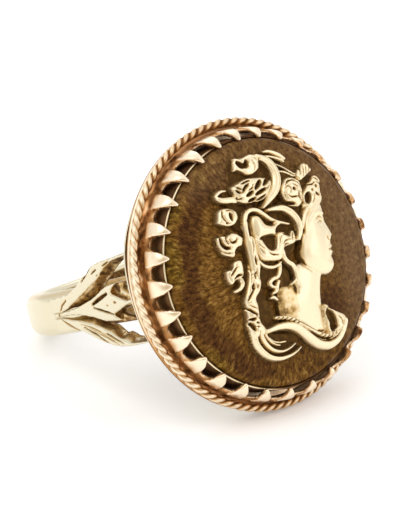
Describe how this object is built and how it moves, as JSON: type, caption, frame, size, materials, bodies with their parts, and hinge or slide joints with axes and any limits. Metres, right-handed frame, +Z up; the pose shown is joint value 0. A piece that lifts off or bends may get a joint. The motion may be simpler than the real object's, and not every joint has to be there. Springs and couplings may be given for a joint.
{
  "type": "cameo ring",
  "caption": "Finger ring with a round cabochon in a pronged crown, a raised bust, a twisted wire border and leaf shoulders, lying on its side.",
  "frame": {"origin": "on the surface the ring lies on, below the middle of its bounding box", "axes": "+Z up, +X the way the setting faces over the surface, +Y to the right of someone who faces the setting"},
  "size_m": [0.03, 0.024, 0.022],
  "materials": {
    "yellow_gold": "polished pale yellow gold, darker in the grooves",
    "rose_gold": "polished rose gold, brown in the recesses",
    "rope_gold": "polished rose gold twisted wire",
    "collet_gold": "bright edge, tarnished wall",
    "brown_stone": "polished brown stone with silky golden fibres",
    "relief_gold": "satin pale gold relief with dark brown patina in the hollows"
  },
  "bodies": {
    "root": {"shank": "yellow_gold", "crown": "rose_gold", "rope_border": "rope_gold", "collet": "collet_gold", "stone": "brown_stone", "cameo_bust": "relief_gold"}
  },
  "joints": []
}
